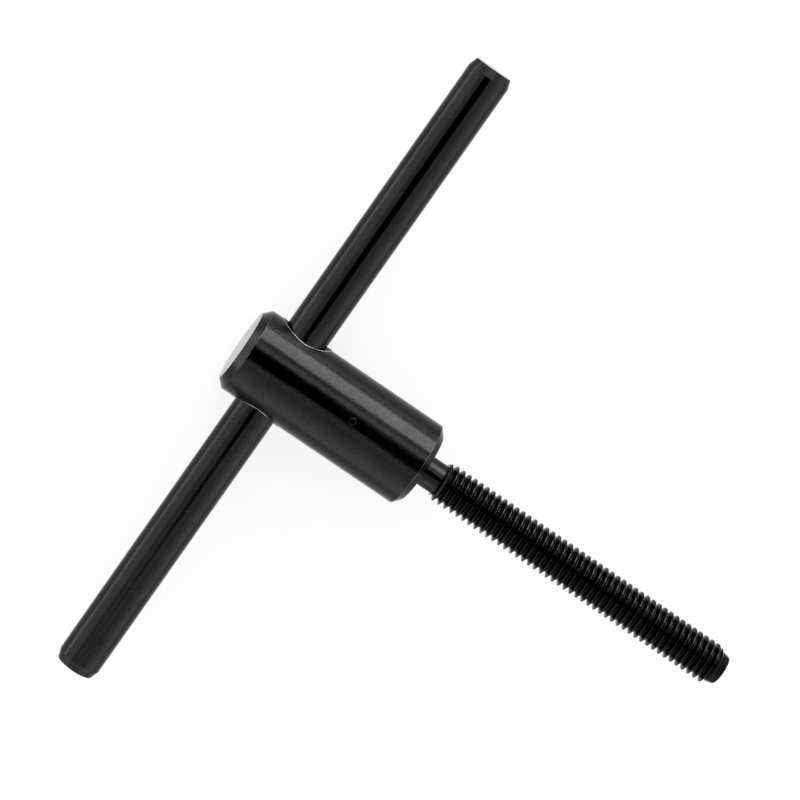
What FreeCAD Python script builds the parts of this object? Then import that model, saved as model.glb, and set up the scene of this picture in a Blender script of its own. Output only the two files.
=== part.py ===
import FreeCAD, Part
import os
import Sketcher

# A tee-handled forcing screw: a cross bar slides through a round hub, and a threaded spindle is
# pinned into the hub's open end.  It lies on its side with the hub resting on z = 0.
# +X runs along the screw to its tip, +Y along the bar, +Z up.  Lengths are millimetres, and
# distances along X are counted from the bar's axis.

SIZES = [
    ("hub_radius", 10.0),
    ("hub_crown", 10.45),          # bar axis back to the closed end of the hub
    ("hub_nose", 36.75),           # bar axis to the end the spindle comes out of
    ("crown_chamfer", 1.68),
    ("nose_chamfer_drop", 1.58),
    ("nose_chamfer_run", 1.47),
    ("hub_edge_round", 0.15),
    ("cross_hole_radius", 5.01),
    ("cross_mouth_radius", 6.2),   # 45 degree countersink, level with the side of the hub
    ("cutter_margin", 1.5),        # how far a cutting profile stands out of the solid
    ("bar_radius", 4.96),
    ("bar_half_length", 79.1),
    ("bar_cone_drop", 0.66),
    ("bar_cone_run", 2.0),
    ("bar_edge_round", 0.15),
    ("shank_radius", 3.52),
    ("shank_start", 15.6),
    ("shank_chamfer", 0.4),
    ("well_radius", 2.6),          # the narrower bore that holds the ball and its spring
    ("thread_start", 41.5),
    ("thread_end", 115.0),
    ("thread_radius", 4.68),
    ("thread_root_radius", 3.7),
    ("thread_pitch", 1.5875),      # sixteen threads to the inch
    ("thread_lead_drop", 0.6),     # the thread starts on a short cone next to the neck
    ("thread_lead_run", 1.2),
    ("thread_end_run", 0.95),
    ("groove_start", 39.481),      # middle of the thread's groove where its cut begins
    ("groove_run", 76.2),          # forty-eight turns, out past the nose end of the thread
    ("groove_half_root", 0.12),
    ("groove_half_mouth", 0.778),  # at the rim radius; the flanks make 60 degrees
    ("groove_rim_radius", 4.84),
    ("tip_end", 116.85),
    ("tip_base_radius", 3.8),
    ("tip_radius", 3.42),
    ("tip_round", 0.3),
    ("pin_radius", 1.0),
    ("pin_at", 17.5),
    ("pin_sink", 0.05),
    ("pin_end_round", 0.4),
    ("pin_turn", 8.0),             # degrees round the hub, from straight up towards +Y
    ("ball_radius", 2.4),
    ("ball_gap", 0.03),
    ("coil_radius", 1.9),
    ("coil_wire_radius", 0.3),
    ("coil_start", 9.36),
    ("coil_end", 15.28),
    ("coil_pitch", 1.1),
]

CLOSE = 1e-4          # millimetres: two lengths nearer than this are the same
SMALLEST_CUT = 1.0    # cubic millimetres: a feature that changes less has failed

doc = FreeCAD.newDocument("tee_screw")
sheet = doc.addObject("Spreadsheet::Sheet", "Sizes")
for row, (name, value) in enumerate(SIZES, start=1):
    sheet.set(f"A{row}", name)
    sheet.set(f"B{row}", str(value))
    sheet.setAlias(f"B{row}", name)
doc.recompute()
size = dict(SIZES)


def length(formula):
    """The value and the spreadsheet expression of sums such as 'hub_nose - nose_chamfer_run'."""
    value, sign, words = 0.0, 1, []
    for word in formula.split():
        if word in "+-":
            sign = 1 if word == "+" else -1
            words.append(word)
        else:
            value += sign * size[word]
            words.append(f"Sizes.{word}")
    return value, " ".join(words)


def origin_part(body, role):
    """One of the body's own base planes or axes."""
    return [item for item in body.Origin.OriginFeatures if item.Role == role][0]


# The bar's axis along X, with the whole tool centred on X = 0.
CROSSING_X = "(Sizes.hub_crown - Sizes.tip_end) / 2"


def bind(piece, **expressions):
    """Ties properties to the table of sizes; two underscores stand for the dot in a name."""
    for name, expression in expressions.items():
        piece.setExpression(name.replace("__", "."), expression)


def new_body(label):
    """An empty body named after its piece, its own origin on the crossing of bar and spindle."""
    body = doc.addObject("PartDesign::Body", label)
    body.Label = label
    bind(body, Placement__Base__x=CROSSING_X, Placement__Base__z="Sizes.hub_radius")
    return body


def outline(body, name, corners):
    """A closed sketch through the corners, each given as two sums of spreadsheet names."""
    sketch = body.newObject("Sketcher::SketchObject", name)
    sketch.AttachmentSupport = (origin_part(body, "XY_Plane"), [""])
    sketch.MapMode = "FlatFace"
    points = [FreeCAD.Vector(length(across)[0], length(up)[0], 0) for across, up in corners]
    count = len(points)
    for index in range(count):
        sketch.addGeometry(Part.LineSegment(points[index], points[(index + 1) % count]), False)
    for index in range(count):
        sketch.addConstraint(Sketcher.Constraint("Coincident", index, 2, (index + 1) % count, 1))
    for index, pair in enumerate(corners):
        for direction, axis, formula in zip(("DistanceX", "DistanceY"), (-2, -1), pair):
            value, expression = length(formula)
            if not expression:
                sketch.addConstraint(Sketcher.Constraint("PointOnObject", index, 1, axis))
                continue
            place = sketch.addConstraint(
                Sketcher.Constraint(direction, -1, 1, index, 1, value))
            sketch.setExpression(f"Constraints[{place}]", expression)
    sketch.Visibility = False
    doc.recompute()
    return sketch


def turned(body, kind, sketch, axis):
    """Revolves a sketch a full turn about its own axis, to add to the body or to cut it."""
    before = body.Shape.Volume if body.Tip else 0.0
    feature = body.newObject(kind, sketch.Name + "_turned")
    feature.Profile = sketch
    feature.ReferenceAxis = (sketch, [axis])
    feature.Angle = 360
    doc.recompute()
    if abs(feature.Shape.Volume - before) < SMALLEST_CUT:
        raise RuntimeError(f"{feature.Name} changed nothing")
    return feature


def circles(shape, radius, along, place):
    """Names of the round edges with this radius whose centres lie at this place on one axis."""
    found = []
    for number, edge in enumerate(shape.Edges, start=1):
        if isinstance(edge.Curve, Part.Circle) and abs(edge.Curve.Radius - radius) < CLOSE:
            if abs(getattr(edge.Curve.Center, along) - place) < CLOSE:
                found.append(f"Edge{number}")
    if not found:
        raise RuntimeError("no such edge")
    return found


def rounded(body, feature, edges, alias):
    """Rounds the named edges of the body's last feature."""
    fillet = body.newObject("PartDesign::Fillet", feature.Name + "_round")
    fillet.Base = (feature, edges)
    fillet.setExpression("Radius", f"Sizes.{alias}")
    doc.recompute()
    return fillet


# Hub: a turned cylinder, chamfered at both ends and bored from the nose in two steps.
hub = new_body("hub")
hub_side = outline(hub, "hub_side", [
    ("- hub_crown", ""),
    ("- hub_crown", "hub_radius - crown_chamfer"),
    ("- hub_crown + crown_chamfer", "hub_radius"),
    ("hub_nose - nose_chamfer_run", "hub_radius"),
    ("hub_nose", "hub_radius - nose_chamfer_drop"),
    ("hub_nose", "shank_radius"),
    ("shank_start", "shank_radius"),
    ("shank_start", "well_radius"),
    ("", "well_radius"),
    ("", ""),
])
hub_blank = turned(hub, "PartDesign::Revolution", hub_side, "H_Axis")
hub_edges = [
    ("hub_radius - crown_chamfer", "- hub_crown"),
    ("hub_radius", "- hub_crown + crown_chamfer"),
    ("hub_radius", "hub_nose - nose_chamfer_run"),
    ("hub_radius - nose_chamfer_drop", "hub_nose"),
]
rounded(hub, hub_blank,
        [edge for radius, place in hub_edges
         for edge in circles(hub_blank.Shape, length(radius)[0], "x", length(place)[0])],
        "hub_edge_round")

# The bar's hole goes right through, with a 45 degree countersink at each mouth.
cross_hole = outline(hub, "cross_hole", [
    ("", "- hub_radius - cutter_margin"),
    ("cross_mouth_radius + cutter_margin", "- hub_radius - cutter_margin"),
    ("cross_hole_radius", "- hub_radius + cross_mouth_radius - cross_hole_radius"),
    ("cross_hole_radius", "hub_radius - cross_mouth_radius + cross_hole_radius"),
    ("cross_mouth_radius + cutter_margin", "hub_radius + cutter_margin"),
    ("", "hub_radius + cutter_margin"),
])
turned(hub, "PartDesign::Groove", cross_hole, "V_Axis")


def pin_hole(body, name):
    """Cuts the cross pin's hole through a body, as a full turn about the pin's own axis."""
    before = body.Shape.Volume
    sketch = body.newObject("Sketcher::SketchObject", name)
    sketch.AttachmentSupport = (origin_part(body, "XY_Plane"), [""])
    sketch.MapMode = "FlatFace"
    sketch.AttachmentOffset = FreeCAD.Placement(
        FreeCAD.Vector(0, 0, 0), FreeCAD.Rotation(FreeCAD.Vector(-1, 0, 0), size["pin_turn"]))
    sketch.setExpression("AttachmentOffset.Rotation.Angle", "Sizes.pin_turn * 1 deg")
    sketch.addGeometry(Part.Circle(FreeCAD.Vector(size["pin_at"], 0, 0),
                                   FreeCAD.Vector(0, 0, 1), size["pin_radius"]), False)
    sketch.addConstraint(Sketcher.Constraint("PointOnObject", 0, 3, -1))
    place = sketch.addConstraint(Sketcher.Constraint("DistanceX", -1, 1, 0, 3, size["pin_at"]))
    sketch.setExpression(f"Constraints[{place}]", "Sizes.pin_at")
    place = sketch.addConstraint(Sketcher.Constraint("Radius", 0, size["pin_radius"]))
    sketch.setExpression(f"Constraints[{place}]", "Sizes.pin_radius")
    sketch.Visibility = False
    doc.recompute()
    pocket = body.newObject("PartDesign::Pocket", name + "_cut")
    pocket.Profile = sketch
    pocket.Type = "ThroughAll"
    pocket.Midplane = True
    doc.recompute()
    if before - pocket.Shape.Volume < SMALLEST_CUT:
        raise RuntimeError(f"{name} cut nothing")


pin_hole(hub, "hub_pin_hole")

# Cross bar: plain round rod with a long, softly rounded chamfer at each end.
bar = new_body("tommy_bar")
bar_side = outline(bar, "bar_side", [
    ("", "- bar_half_length"),
    ("bar_radius - bar_cone_drop", "- bar_half_length"),
    ("bar_radius", "- bar_half_length + bar_cone_run"),
    ("bar_radius", "bar_half_length - bar_cone_run"),
    ("bar_radius - bar_cone_drop", "bar_half_length"),
    ("", "bar_half_length"),
])
bar_rod = turned(bar, "PartDesign::Revolution", bar_side, "V_Axis")
end_radius = size["bar_radius"] - size["bar_cone_drop"]
ends = [edge for way in (-1, 1)
        for edge in circles(bar_rod.Shape, end_radius, "y", way * size["bar_half_length"])]
rounded(bar, bar_rod, ends, "bar_edge_round")

# Spindle: plain shank and neck, then the threaded length, then a short blunt nose.
spindle = new_body("spindle")
spindle_side = outline(spindle, "spindle_side", [
    ("shank_start", ""),
    ("shank_start", "shank_radius - shank_chamfer"),
    ("shank_start + shank_chamfer", "shank_radius"),
    ("thread_start", "shank_radius"),
    ("thread_start", "thread_radius - thread_lead_drop"),
    ("thread_start + thread_lead_run", "thread_radius"),
    ("thread_end - thread_end_run", "thread_radius"),
    ("thread_end", "tip_base_radius"),
    ("tip_end", "tip_radius"),
    ("tip_end", ""),
])
spindle_rod = turned(spindle, "PartDesign::Revolution", spindle_side, "H_Axis")
tip_edges = circles(spindle_rod.Shape, size["tip_radius"], "x", size["tip_end"])
spindle_nose = rounded(spindle, spindle_rod, tip_edges, "tip_round")

# The thread is one 60 degree groove wound right-handed from the neck to the nose.
thread_groove = outline(spindle, "thread_groove", [
    ("groove_start - groove_half_root", "thread_root_radius"),
    ("groove_start + groove_half_root", "thread_root_radius"),
    ("groove_start + groove_half_mouth", "groove_rim_radius"),
    ("groove_start - groove_half_mouth", "groove_rim_radius"),
])
thread = spindle.newObject("PartDesign::SubtractiveHelix", "thread")
thread.Profile = thread_groove
thread.ReferenceAxis = (thread_groove, ["H_Axis"])
thread.Mode = "pitch-height-angle"
bind(thread, Pitch="Sizes.thread_pitch", Height="Sizes.groove_run")
thread.Angle = 0
thread.LeftHanded = False
thread.Reversed = False
doc.recompute()
if spindle_nose.Shape.Volume - thread.Shape.Volume < SMALLEST_CUT:
    raise RuntimeError("the thread cut nothing")
pin_hole(spindle, "spindle_pin_hole")

# Cross pin through hub and shank, its rounded ends just under the hub's surface.
pin = new_body("spindle_pin")
pin_side = outline(pin, "pin_side", [
    ("", "- hub_radius + pin_sink"),
    ("pin_radius", "- hub_radius + pin_sink"),
    ("pin_radius", "hub_radius - pin_sink"),
    ("", "hub_radius - pin_sink"),
])
pin_rod = turned(pin, "PartDesign::Revolution", pin_side, "V_Axis")
pin_reach = size["hub_radius"] - size["pin_sink"]
pin_ends = [edge for way in (-1, 1)
            for edge in circles(pin_rod.Shape, size["pin_radius"], "y", way * pin_reach)]
rounded(pin, pin_rod, pin_ends, "pin_end_round")
pin.Placement = FreeCAD.Placement(
    FreeCAD.Vector(0, 0, 0), FreeCAD.Rotation(FreeCAD.Vector(1, 0, 0), 90 - size["pin_turn"]))
bind(pin,
     Placement__Rotation__Angle="(90 - Sizes.pin_turn) * 1 deg",
     Placement__Base__x=f"{CROSSING_X} + Sizes.pin_at",
     Placement__Base__z="Sizes.hub_radius")
doc.recompute()

# Ball pressed on the bar by a short spring, both held in the bore behind the shank.
ball = doc.addObject("Part::Sphere", "friction_ball")
ball.Label = "friction_ball"
bind(ball,
     Radius="Sizes.ball_radius",
     Placement__Base__x=f"{CROSSING_X} + Sizes.bar_radius + Sizes.ball_gap + Sizes.ball_radius",
     Placement__Base__z="Sizes.hub_radius")

coil_path = Part.makeHelix(size["coil_pitch"], size["coil_end"] - size["coil_start"],
                           size["coil_radius"])
wire_end = Part.Wire([Part.makeCircle(size["coil_wire_radius"],
                                      FreeCAD.Vector(size["coil_radius"], 0, 0),
                                      FreeCAD.Vector(0, 1, 0))])
spring = doc.addObject("Part::Feature", "friction_spring")
spring.Label = "friction_spring"
spring.Shape = Part.Wire(coil_path).makePipeShell([wire_end], True, True)
spring.Placement = FreeCAD.Placement(
    FreeCAD.Vector(0, 0, 0), FreeCAD.Rotation(FreeCAD.Vector(0, 1, 0), 90))
bind(spring,
     Placement__Base__x=f"{CROSSING_X} + Sizes.coil_start",
     Placement__Base__z="Sizes.hub_radius")
doc.recompute()

for item in doc.Objects:
    if "Invalid" in item.State or "Error" in item.State:
        raise RuntimeError(f"{item.Label} did not recompute: {item.State}")

os.makedirs("parts", exist_ok=True)
for piece in (hub, bar, spindle, pin, ball, spring):
    shape = piece.Shape
    if shape.isNull() or not shape.isValid() or len(shape.Solids) != 1:
        raise RuntimeError(f"{piece.Label} is not one valid solid")
    shape.exportStep(f"parts/{piece.Label}.step")
    box = shape.BoundBox
    print(piece.Label, round(shape.Volume, 1), [round(value, 3) for value in (
        box.XMin, box.XMax, box.YMin, box.YMax, box.ZMin, box.ZMax)])
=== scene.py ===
"""Looks for a tee-handled forcing screw in black-oxide steel, lying on a white table."""

import math

import bmesh
import bpy
from mathutils import Matrix, Vector


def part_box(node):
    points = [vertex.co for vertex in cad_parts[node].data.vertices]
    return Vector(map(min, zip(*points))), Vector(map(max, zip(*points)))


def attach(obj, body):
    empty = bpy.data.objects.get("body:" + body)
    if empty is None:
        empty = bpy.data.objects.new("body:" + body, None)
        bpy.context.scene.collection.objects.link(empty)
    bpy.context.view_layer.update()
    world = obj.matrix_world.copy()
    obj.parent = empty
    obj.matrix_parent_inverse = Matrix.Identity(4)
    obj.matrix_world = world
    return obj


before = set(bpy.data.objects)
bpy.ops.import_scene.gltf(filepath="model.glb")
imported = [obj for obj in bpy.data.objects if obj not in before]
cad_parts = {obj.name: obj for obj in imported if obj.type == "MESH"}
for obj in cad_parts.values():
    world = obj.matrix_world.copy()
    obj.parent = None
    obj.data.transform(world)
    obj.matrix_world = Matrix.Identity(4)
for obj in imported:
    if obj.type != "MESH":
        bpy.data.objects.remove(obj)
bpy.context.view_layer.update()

# The crossing of bar and spindle, found from the bar's own box: everything else is placed from it.
bar_low, bar_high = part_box("tommy_bar")
CROSSING = (bar_low + bar_high) / 2


# ---------------------------------------------------------------- materials


class Nodes:
    """A short way to write shader nodes: make a node, set its inputs, link others into it."""

    def __init__(self, name):
        self.material = bpy.data.materials.new(name)
        self.material.use_nodes = True
        self.tree = self.material.node_tree
        self.tree.nodes.clear()
        self.shader = self.add("ShaderNodeBsdfPrincipled")
        output = self.add("ShaderNodeOutputMaterial")
        self.tree.links.new(self.shader.outputs["BSDF"], output.inputs["Surface"])

    def add(self, kind, inputs=None, **settings):
        """A node with its settings; each input is a value, or the socket of another node."""
        node = self.tree.nodes.new(kind)
        for key, value in settings.items():
            setattr(node, key, value)
        self.fill(node, inputs or {})
        return node

    def fill(self, node, inputs):
        for key, value in inputs.items():
            if isinstance(value, bpy.types.NodeSocket):
                self.tree.links.new(value, node.inputs[key])
            else:
                node.inputs[key].default_value = value

    def math(self, operation, first, second=0.0):
        """One sum, such as ADD or MULTIPLY, of two numbers or sockets."""
        return self.add("ShaderNodeMath", {0: first, 1: second}, operation=operation).outputs[0]

    def position(self):
        """Metres along x, y and z from the crossing of bar and spindle, fixed to the piece."""
        place = self.add("ShaderNodeTexCoord").outputs["Object"]
        offset = self.add("ShaderNodeVectorMath", {0: place, 1: CROSSING}, operation="SUBTRACT")
        split = self.add("ShaderNodeSeparateXYZ", {0: offset.outputs[0]})
        return split.outputs["X"], split.outputs["Y"], split.outputs["Z"]

    def distance(self, first, second):
        """How far a point is from the axis that the two sockets are measured from."""
        pair = self.add("ShaderNodeCombineXYZ", {"X": first, "Y": second})
        return self.add("ShaderNodeVectorMath", {0: pair.outputs[0]},
                        operation="LENGTH").outputs["Value"]

    def noise(self, along, across, up, stretch, detail=3.0):
        """Noise with this many features a metre in each of the three directions."""
        scaled = [self.math("MULTIPLY", value, amount)
                  for value, amount in zip((along, across, up), stretch)]
        vector = self.add("ShaderNodeCombineXYZ", {"X": scaled[0], "Y": scaled[1], "Z": scaled[2]})
        return self.add("ShaderNodeTexNoise", {"Vector": vector.outputs[0], "Scale": 1.0,
                                               "Detail": detail}).outputs["Fac"]

    def spread(self, value, low, high, start=0.0, end=1.0):
        """Maps low..high to start..end, softly, and holds the ends."""
        node = self.add("ShaderNodeMapRange", {"Value": value, "From Min": low, "From Max": high,
                                               "To Min": start, "To Max": end},
                        interpolation_type="SMOOTHSTEP")
        return node.outputs["Result"]

    def band(self, value, centre, half_width):
        """One at the centre, falling to nothing half a width away."""
        gap = self.math("ABSOLUTE", self.math("SUBTRACT", value, centre))
        return self.spread(gap, 0.0, half_width, 1.0, 0.0)

    def blend(self, amount, first, second):
        """A colour between two others."""
        node = self.add("ShaderNodeMix", data_type="RGBA")
        colours = [socket for socket in node.inputs if socket.type == "RGBA"]
        self.fill(node, {0: amount})
        for socket, colour in zip(colours, (first, second)):
            if isinstance(colour, bpy.types.NodeSocket):
                self.tree.links.new(colour, socket)
            else:
                socket.default_value = (*colour, 1)
        return [socket for socket in node.outputs if socket.type == "RGBA"][0]

    def bumps(self, *layers):
        """Stacked bump: each layer is a height between 0 and 1 and its depth in metres."""
        normal = None
        for height, depth in layers:
            inputs = {"Height": height, "Distance": depth, "Strength": 1.0}
            if normal:
                inputs["Normal"] = normal
            normal = self.add("ShaderNodeBump", inputs).outputs["Normal"]
        return normal


# Black oxide reflects about as much as black glass; where it is rubbed off, bare steel shows.
OXIDE = (0.0330, 0.0330, 0.0334)
OXIDE_WARM = (0.0560, 0.0540, 0.0520)
# Painted shade: the near-black colour that recesses are darkened to, standing in for their shade.
PAINTED_SHADE_OXIDE = (0.0090, 0.0086, 0.0086)
BARE_STEEL = (0.42, 0.41, 0.40)

# Features a metre in each direction.
GRAIN = (2300, 2300, 2300)
SPECKLE = (3100, 3100, 3100)
CLOUDS = (140, 140, 140)
LATHE_RINGS = (5200, 60, 60)
BAR_STREAKS = (2600, 45, 2600)
PIN_SCRATCHES = (4000, 300, 4000)
BALL_SWIRLS = (1800, 900, 1800)
BALL_CLOUDS = (400, 400, 400)
WIRE_DRAWING = (3000, 3000, 3000)
RIM_SCRATCHES = (3500, 600, 3500)
RIM_PATCHES = (350, 350, 350)
EDGE_PATCHES = (300, 300, 300)

# The part of the noise's range that is stretched to the whole of an effect's range.
WIDE = (0.3, 0.7)
MIDDLE = (0.32, 0.68)
NARROW = (0.38, 0.62)

SPECKLE_SHARE = 0.7       # of the mottled colour; the clouds make up the rest
WORN_ROUGHNESS = 0.12     # how much rougher rubbed metal is
EDGE_RUB = (0.05, 0.5)    # how bare the hub's edges are, at the least and at the most
ROOT_SHADE = 0.85           # how dark the painted shade in the thread's roots is


def oxide_finish(mat, marks, mark_depth, grain_depth, roughness, painted_shade=None, wear=None):
    """Blackened steel: mottled colour, tool marks and grain, darkened by painted shade where the
    shade mask is one, and bare metal where `wear` is."""
    x, y, z = mat.position()
    grain = mat.noise(x, y, z, GRAIN, detail=4.0)
    clouds = mat.noise(x, y, z, CLOUDS, detail=3.0)
    speckle = mat.noise(x, y, z, SPECKLE, detail=1.0)
    mottle = mat.math("ADD", mat.math("MULTIPLY", speckle, SPECKLE_SHARE),
                      mat.math("MULTIPLY", clouds, 1.0 - SPECKLE_SHARE))
    colour = mat.blend(mat.spread(mottle, *MIDDLE), OXIDE, OXIDE_WARM)
    finish = mat.math("MULTIPLY", mat.math("ADD", marks, clouds), 0.5)
    rough = mat.spread(finish, *NARROW, *roughness)
    # Painted shade: the colour is blended towards near-black where the shade mask is one.
    if painted_shade is not None:
        colour = mat.blend(painted_shade, colour, PAINTED_SHADE_OXIDE)
    if wear is not None:
        colour = mat.blend(wear, colour, BARE_STEEL)
        rough = mat.math("ADD", rough, mat.math("MULTIPLY", wear, WORN_ROUGHNESS))
    mat.fill(mat.shader, {
        "Base Color": colour,
        "Metallic": 1.0,
        "Roughness": rough,
        "Normal": mat.bumps((marks, mark_depth), (grain, grain_depth)),
    })
    return mat.material


# Places on the CAD pieces, in metres from the crossing of bar and spindle or from their own ends.
HUB_RADIUS = (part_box("hub")[1].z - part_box("hub")[0].z) / 2
CROWN_CHAMFER = 0.00168
NOSE_CHAMFER = 0.00147
EDGE_WEAR = 0.00012
SUNK_START, SUNK_END = 0.0001, 0.0004     # below the side of the hub
MOUTH_SHADE = (0.0068, 0.0074)            # along the hub, from the bar's axis, where the painted shade in the cross hole fades out
THREAD_START = 0.0415
THREAD_FADE = 0.0002
THREAD_ROOT = 0.0037
THREAD_CREST = 0.00468
RING_SLANT = 0.6                          # lets the rings cross flat ends as well as the sides


def turned_marks(mat, x, y, z):
    """Fine rings left by the lathe, on the side and on the flat ends."""
    radius = mat.distance(y, z)
    ring = mat.math("ADD", x, mat.math("MULTIPLY", radius, RING_SLANT))
    return mat.noise(ring, y, z, LATHE_RINGS, detail=2.0)


def hub_steel():
    """The turned hub: its chamfer edges are rubbed bright in places, and painted shade darkens its
    countersunk cross hole.
    """
    mat = Nodes("hub_black_oxide")
    x, y, z = mat.position()
    low, high = (corner.x - CROSSING.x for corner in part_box("hub"))
    edges = mat.math("MAXIMUM", mat.band(x, low + CROWN_CHAMFER, EDGE_WEAR),
                     mat.band(x, high - NOSE_CHAMFER, EDGE_WEAR))
    patches = mat.spread(mat.noise(x, y, z, EDGE_PATCHES), *NARROW, *EDGE_RUB)
    # Painted shade in the countersunk cross hole: one below the side of the hub and near the bar's
    # axis.
    sunk = mat.spread(mat.distance(y, z), HUB_RADIUS - SUNK_END, HUB_RADIUS - SUNK_START, 1.0, 0.0)
    near_bar = mat.spread(mat.math("ABSOLUTE", x), *MOUTH_SHADE, 1.0, 0.0)
    return oxide_finish(mat, turned_marks(mat, x, y, z), mark_depth=5.0e-6, grain_depth=2.2e-5,
                        roughness=(0.09, 0.15),
                        painted_shade=mat.math("MULTIPLY", sunk, near_bar),
                        wear=mat.math("MULTIPLY", edges, patches))


def bar_steel():
    """The drawn bar, with faint streaks along its length."""
    mat = Nodes("bar_black_oxide")
    x, y, z = mat.position()
    streaks = mat.noise(x, y, z, BAR_STREAKS, detail=2.0)
    return oxide_finish(mat, streaks, mark_depth=4.0e-6, grain_depth=1.2e-5,
                        roughness=(0.08, 0.13))


def spindle_steel():
    """The spindle: a plain neck, then painted shade lying dark in the roots of the thread."""
    mat = Nodes("spindle_black_oxide")
    x, y, z = mat.position()
    # Painted shade: darker from the thread's crest down to its root, on the threaded part only.
    depth = mat.spread(mat.distance(y, z), THREAD_ROOT, THREAD_CREST, ROOT_SHADE, 0.0)
    threaded = mat.spread(x, THREAD_START - THREAD_FADE, THREAD_START)
    return oxide_finish(mat, turned_marks(mat, x, y, z), mark_depth=4.0e-6, grain_depth=1.5e-5,
                        roughness=(0.10, 0.16),
                        painted_shade=mat.math("MULTIPLY", depth, threaded))


def pin_steel():
    """The cross pin, blackened with the hub round it and a little duller."""
    mat = Nodes("pin_black_oxide")
    x, y, z = mat.position()
    scratches = mat.noise(x, y, z, PIN_SCRATCHES, detail=2.0)
    return oxide_finish(mat, scratches, mark_depth=5.0e-6, grain_depth=3.0e-5,
                        roughness=(0.14, 0.2))


def bare_metal(name, marks, mark_depth, clouds, colours, roughness):
    """Steel with no blacking: clouds between two colours, roughness and bump from its marks."""
    mat = Nodes(name)
    x, y, z = mat.position()
    marks = mat.noise(x, y, z, marks, detail=2.0)
    mat.fill(mat.shader, {
        "Base Color": mat.blend(clouds(mat, x, y, z), *colours),
        "Metallic": 1.0,
        "Roughness": mat.spread(marks, *WIDE, *roughness),
        "Normal": mat.bumps((marks, mark_depth)),
    })
    return mat.material


def ball_steel():
    """The polished friction ball."""
    return bare_metal("ball_bright_steel", BALL_SWIRLS, 0.8e-6,
                      lambda mat, x, y, z: mat.noise(x, y, z, BALL_CLOUDS),
                      colours=((0.50, 0.50, 0.51), (0.58, 0.57, 0.56)), roughness=(0.06, 0.14))


def spring_steel():
    """Drawn spring wire, bright with a straw tint."""
    return bare_metal("spring_wire", WIRE_DRAWING, 1.5e-6,
                      lambda mat, x, y, z: mat.noise(x, y, z, WIRE_DRAWING, detail=2.0),
                      colours=((0.36, 0.34, 0.31), (0.48, 0.45, 0.40)), roughness=(0.22, 0.36))


def rubbed_steel():
    """Bare metal on the rims of the cross hole, scratched round by the bar and blacked in patches."""
    return bare_metal("rim_bare_steel", RIM_SCRATCHES, 2.0e-6,
                      lambda mat, x, y, z: mat.spread(mat.noise(x, y, z, RIM_PATCHES), 0.3, 0.65),
                      colours=((0.07, 0.068, 0.066), (0.82, 0.81, 0.79)), roughness=(0.28, 0.45))


finishes = {
    "hub": hub_steel(),
    "tommy_bar": bar_steel(),
    "spindle": spindle_steel(),
    "spindle_pin": pin_steel(),
    "friction_ball": ball_steel(),
    "friction_spring": spring_steel(),
}
for name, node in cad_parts.items():
    node.data.materials.clear()
    node.data.materials.append(finishes[name])

# ---------------------------------------------------------------- worn rims of the cross hole

MOUTH_RADIUS = 0.0062     # countersink, level with the side of the hub
BAR_CLEARANCE = 0.00012   # more than the roll is thick from its middle, so it never touches the bar
RIM_RADIUS = 0.0001
RIM_STEPS = 240
RIM_SIDES = 8
RIM_REFINEMENTS = 6       # the mouth's reach and its depth depend on each other


def rim_point(angle, side, hole_radius):
    """Where the cross hole's mouth meets the side of the hub, this far round the bar's axis."""
    reach = MOUTH_RADIUS
    for _ in range(RIM_REFINEMENTS):
        depth = math.sqrt(HUB_RADIUS ** 2 - (reach * math.sin(angle)) ** 2)
        reach = max(hole_radius, MOUTH_RADIUS - (HUB_RADIUS - depth))
    depth = math.sqrt(HUB_RADIUS ** 2 - (reach * math.sin(angle)) ** 2)
    return CROSSING + Vector((reach * math.cos(angle), side * depth, reach * math.sin(angle)))


def make_rim(name, side):
    """A closed hair-thin roll of bare metal along one mouth of the cross hole."""
    hole_radius = (bar_high.z - bar_low.z) / 2 + BAR_CLEARANCE
    path = [rim_point(math.tau * step / RIM_STEPS, side, hole_radius)
            for step in range(RIM_STEPS)]
    mesh = bmesh.new()
    rings = []
    for step, point in enumerate(path):
        ahead = (path[(step + 1) % RIM_STEPS] - path[step - 1]).normalized()
        out = (point - CROSSING).cross(ahead).normalized()
        up = ahead.cross(out)
        turns = [math.tau * corner / RIM_SIDES for corner in range(RIM_SIDES)]
        offsets = [RIM_RADIUS * (math.cos(turn) * out + math.sin(turn) * up) for turn in turns]
        rings.append([mesh.verts.new(point + offset) for offset in offsets])
    for step, ring in enumerate(rings):
        following = rings[(step + 1) % RIM_STEPS]
        for corner in range(RIM_SIDES):
            beside = (corner + 1) % RIM_SIDES
            mesh.faces.new((ring[corner], ring[beside], following[beside], following[corner]))
    bmesh.ops.recalc_face_normals(mesh, faces=mesh.faces)
    data = bpy.data.meshes.new(name)
    mesh.to_mesh(data)
    mesh.free()
    data.polygons.foreach_set("use_smooth", [True] * len(data.polygons))
    rim = bpy.data.objects.new(name, data)
    bpy.context.scene.collection.objects.link(rim)
    data.materials.append(rim_finish)
    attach(rim, "hub")


rim_finish = rubbed_steel()
make_rim("mouth_rim_far", 1)
make_rim("mouth_rim_near", -1)

# ---------------------------------------------------------------- floor, lights and camera

FLOOR_SIZE = 3.0
FLOOR_COLOUR = (0.4, 0.4, 0.4, 1)
FLOOR_GLOW = 0.8


def make_floor():
    """A plain white table under the tool."""
    mesh = bpy.data.meshes.new("floor")
    half = FLOOR_SIZE / 2
    mesh.from_pydata([(-half, -half, 0), (half, -half, 0), (half, half, 0), (-half, half, 0)],
                     [], [(0, 1, 2, 3)])
    floor = bpy.data.objects.new("floor", mesh)
    bpy.context.scene.collection.objects.link(floor)
    paint = Nodes("floor_white")
    paint.fill(paint.shader, {
        "Base Color": FLOOR_COLOUR,
        "Roughness": 0.9,
        "Emission Color": (1, 1, 1, 1),
        "Emission Strength": FLOOR_GLOW,
    })
    mesh.materials.append(paint.material)
    floor.visible_glossy = False


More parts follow.
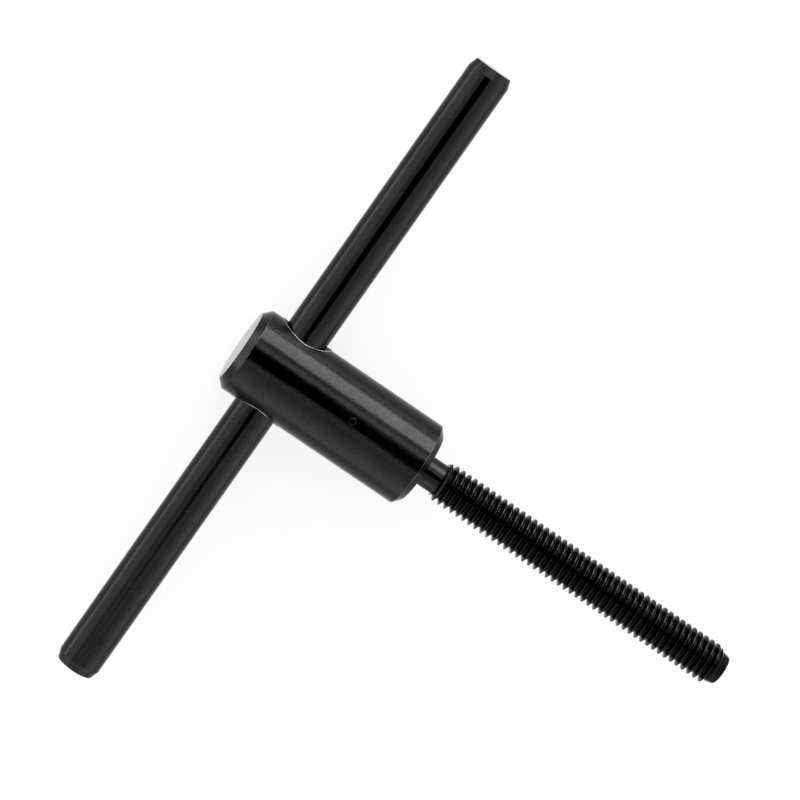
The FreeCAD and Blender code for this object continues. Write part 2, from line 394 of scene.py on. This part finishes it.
# How the tool lies in the picture, in degrees: the spindle slopes down to the right and leans away
# from the camera, and the bar's far end is lifted towards it.
SPINDLE_SLOPE = 34.27
SPINDLE_LEAN = 7.66
BAR_LIFT = 7.95
CAMERA_DISTANCE = 0.694
CAMERA_LENS = 145.3
CAMERA_AIM = CROSSING + Vector((0.02443, 0.00954, 0))


def make_camera():
    """The camera, turned so that the tool has the slope, lean and lift given above."""
    slope, lean, lift = (math.radians(angle) for angle in (SPINDLE_SLOPE, SPINDLE_LEAN, BAR_LIFT))
    spindle = Vector((math.cos(lean) * math.cos(slope), -math.cos(lean) * math.sin(slope),
                      -math.sin(lean)))
    across = Vector((math.sin(slope), math.cos(slope), 0))
    out = spindle.cross(across)
    bar = math.cos(lift) * across + math.sin(lift) * out
    turn = Matrix((spindle, bar, spindle.cross(bar)))
    camera = bpy.data.objects.new("camera", bpy.data.cameras.new("camera"))
    camera.data.lens = CAMERA_LENS
    camera.data.sensor_width = 36
    camera.data.clip_start, camera.data.clip_end = 0.01, 20
    camera.matrix_world = turn.to_4x4()
    camera.location = CAMERA_AIM + turn @ Vector((0, 0, CAMERA_DISTANCE))
    bpy.context.scene.collection.objects.link(camera)
    bpy.context.scene.camera = camera
    return camera


# Brightness of the light tent round the tool, by the angle in degrees from the camera's own
# direction: a dark opening for the camera, panels that brighten towards the horizon, then the table.
TENT = [(0, 0.0), (20.5, 0.0), (22, 0.52), (27, 0.46), (35, 0.36), (48, 0.5), (62, 0.68),
        (78, 0.95), (94, 0.98), (104, 0.52), (130, 0.52), (152, 0.6), (168, 0.95), (180, 1.1)]

# The opening sits this many degrees to the side that the screw points to.
OPENING_SHIFT = 3.5

# Directions in the picture, right and up: along the bar, and along the screw to its tip.
SLOPE = math.radians(SPINDLE_SLOPE)
BAR_WAY = Vector((math.sin(SLOPE), math.cos(SLOPE), 0))
SCREW_WAY = Vector((math.cos(SLOPE), -math.sin(SLOPE), 0))


def make_tent(camera):
    """The world: an even light tent with a round opening that the camera looks through."""
    world = bpy.data.worlds.new("light_tent")
    world.use_nodes = True
    tree = world.node_tree
    background = tree.nodes["Background"]
    place = tree.nodes.new("ShaderNodeTexCoord")
    towards = tree.nodes.new("ShaderNodeVectorMath")
    towards.operation = "DOT_PRODUCT"
    shift = math.radians(OPENING_SHIFT)
    opening = math.sin(shift) * SCREW_WAY + math.cos(shift) * Vector((0, 0, 1))
    towards.inputs[1].default_value = camera.matrix_world.to_3x3() @ opening
    angle = tree.nodes.new("ShaderNodeMath")
    angle.operation = "ARCCOSINE"
    share = tree.nodes.new("ShaderNodeMath")
    share.operation = "DIVIDE"
    share.inputs[1].default_value = math.pi
    ramp = tree.nodes.new("ShaderNodeFloatCurve")
    curve = ramp.mapping.curves[0]
    top = max(level for _, level in TENT)
    for _ in range(len(TENT) - 2):
        curve.points.new(0.5, 0.5)
    for point, (degrees, level) in zip(curve.points, TENT):
        point.location = (math.radians(degrees) / math.pi, level / top)
        point.handle_type = "VECTOR"
    ramp.mapping.update()
    strength = tree.nodes.new("ShaderNodeMath")
    strength.operation = "MULTIPLY"
    strength.inputs[1].default_value = top
    tree.links.new(place.outputs["Generated"], towards.inputs[0])
    tree.links.new(towards.outputs["Value"], angle.inputs[0])
    tree.links.new(angle.outputs[0], share.inputs[0])
    tree.links.new(share.outputs[0], ramp.inputs["Value"])
    tree.links.new(ramp.outputs["Value"], strength.inputs[0])
    tree.links.new(strength.outputs[0], background.inputs["Strength"])
    background.inputs["Color"].default_value = (1, 1, 1, 1)
    bpy.context.scene.world = world


# Softboxes: the way each leans in the picture, its angle in degrees from the camera's direction,
# how deep it is in metres, and its radiance.
SOFTBOX_DISTANCE = 1.2
SOFTBOX_WIDTH = 1.3
SOFTBOXES = {
    "key": (BAR_WAY, 62, 0.72, 2.4),
    "front_fill": (BAR_WAY, 28, 0.26, 0.55),
    "side_fill": (-SCREW_WAY, 46, 0.6, 0.22),
    "edge": (-SCREW_WAY, 84, 0.25, 0.8),
}


def make_softbox(name, camera, way, degrees, depth, radiance):
    """A wide softbox that faces the crossing of bar and spindle."""
    turn = camera.matrix_world.to_3x3()
    out = turn.col[2]
    side = (turn @ way).normalized()
    angle = math.radians(degrees)
    back = math.cos(angle) * out + math.sin(angle) * side
    across = side.cross(out).normalized()
    lamp = bpy.data.lights.new(name, "AREA")
    lamp.shape = "RECTANGLE"
    lamp.size = SOFTBOX_WIDTH
    lamp.size_y = depth
    lamp.energy = radiance * math.pi * SOFTBOX_WIDTH * depth
    light = bpy.data.objects.new(name, lamp)
    light.matrix_world = Matrix((across, back.cross(across), back)).transposed().to_4x4()
    light.location = CROSSING + SOFTBOX_DISTANCE * back
    bpy.context.scene.collection.objects.link(light)


make_floor()
camera = make_camera()
make_tent(camera)
for name, settings in SOFTBOXES.items():
    make_softbox(name, camera, *settings)
bpy.context.scene.view_settings.view_transform = "Standard"
